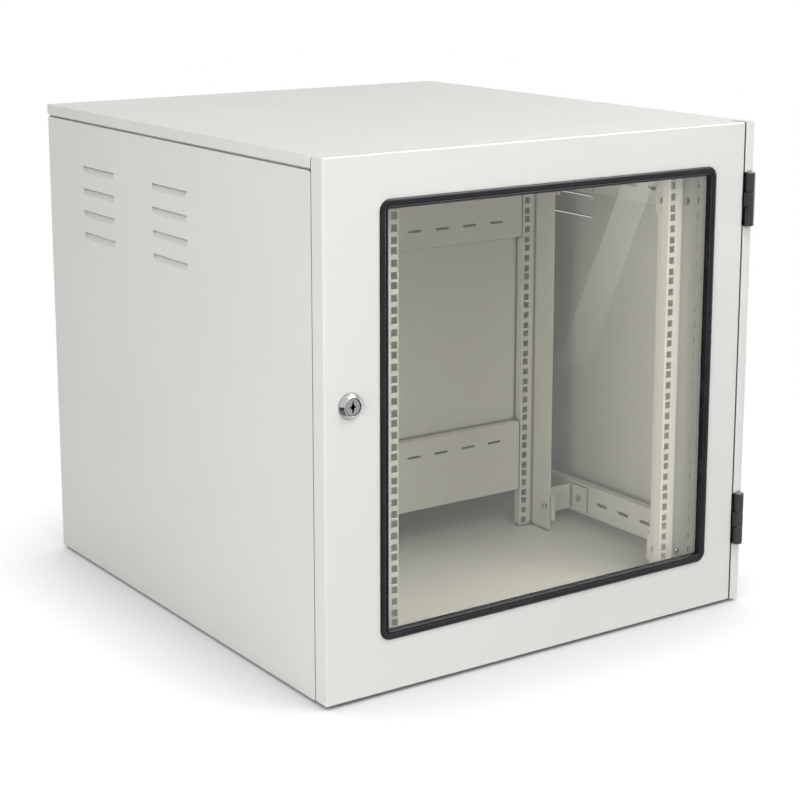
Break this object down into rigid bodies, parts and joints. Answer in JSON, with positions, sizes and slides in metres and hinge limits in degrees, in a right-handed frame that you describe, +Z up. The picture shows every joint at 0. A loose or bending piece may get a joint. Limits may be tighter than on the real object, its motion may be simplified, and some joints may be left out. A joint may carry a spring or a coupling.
{
  "type": "server rack",
  "caption": "Desktop 19-inch server rack cabinet with a hinged glazed front door, cam lock, square-hole uprights, slotted depth rails and side louvres.",
  "frame": {"origin": "on the surface that the cabinet stands on, under the middle of its bounding box, within the claim's tolerance: midway between the sides, and midway between the door's face and the rear panel", "axes": "+Z up; +X to the right as seen from in front of the door; the door faces -Y and the rear panel +Y"},
  "size_m": [0.71, 0.7923, 0.7],
  "materials": {
    "grey_paint": "fine satin powder coat, light grey",
    "inner_grey_paint": "fine satin powder coat, light grey",
    "zinc_steel": "bright zinc plate",
    "black_rubber": "satin extruded rubber",
    "grey_foam": "matt closed-cell foam",
    "clear_glass": "clear flat safety glass",
    "lock_chrome": "polished chrome plate",
    "lock_satin_steel": "satin turned face",
    "hinge_black": "black satin coat on die-cast metal"
  },
  "bodies": {
    "cabinet": {"base_floor": "grey_paint", "front_base_skirt": "grey_paint", "rear_base_skirt": "grey_paint", "left_base_rail": "grey_paint", "right_base_rail": "grey_paint", "roof_lid": "grey_paint", "left_side_panel": "grey_paint", "right_side_panel": "grey_paint", "rear_panel": "grey_paint", "hinge_post": "grey_paint", "front_left_upright": "inner_grey_paint", "front_right_upright": "inner_grey_paint", "rear_left_upright": "inner_grey_paint", "rear_right_upright": "inner_grey_paint", "left_lower_depth_rail": "inner_grey_paint", "left_upper_depth_rail": "inner_grey_paint", "right_lower_depth_rail": "inner_grey_paint", "right_upper_depth_rail": "inner_grey_paint", "lower_cross_rail": "inner_grey_paint", "upper_cross_rail": "inner_grey_paint", "inner_rear_panel": "inner_grey_paint", "left_filler_strip": "inner_grey_paint", "right_filler_strip": "inner_grey_paint", "front_left_lower_bracket": "inner_grey_paint", "front_left_upper_bracket": "inner_grey_paint", "front_right_lower_bracket": "inner_grey_paint", "front_right_upper_bracket": "inner_grey_paint", "rear_left_lower_bracket": "inner_grey_paint", "rear_left_upper_bracket": "inner_grey_paint", "rear_right_lower_bracket": "inner_grey_paint", "rear_right_upper_bracket": "inner_grey_paint", "rear_panel_screws": "zinc_steel", "hinge_screws": "zinc_steel", "upright_bolts": "zinc_steel", "upright_nuts": "zinc_steel", "cross_rail_bolts": "zinc_steel", "cage_nuts": "zinc_steel", "filler_screws": "zinc_steel", "foot_screws": "zinc_steel", "upper_hinge_pin": "zinc_steel", "lower_hinge_pin": "zinc_steel", "cable_entry_edging": "black_rubber", "front_left_foot": "black_rubber", "front_right_foot": "black_rubber", "rear_left_foot": "black_rubber", "rear_right_foot": "black_rubber", "upper_hinge_body": "hinge_black", "lower_hinge_body": "hinge_black"},
    "door": {"door_shell": "grey_paint", "window_pane": "clear_glass", "window_gasket": "black_rubber", "gasket_locking_strip": "black_rubber", "door_seal": "grey_foam", "upper_hinge_leaf": "hinge_black", "lower_hinge_leaf": "hinge_black", "lock_housing": "lock_chrome", "lock_nut": "zinc_steel"},
    "lock": {"lock_plug": "lock_satin_steel", "lock_cam": "zinc_steel", "cam_nut": "zinc_steel"}
  },
  "joints": [
    {"name": "door_hinge", "type": "hinge", "parent": "cabinet", "child": "door", "pos_m": [0.34675, -0.392, 0.3595], "axis": [0, 0, 1], "range_deg": [0, 180]},
    {"name": "lock_turn", "type": "hinge", "parent": "door", "child": "lock", "pos_m": [-0.317, -0.375, 0.391], "axis": [0, 1, 0], "range_deg": [0, 90]}
  ]
}
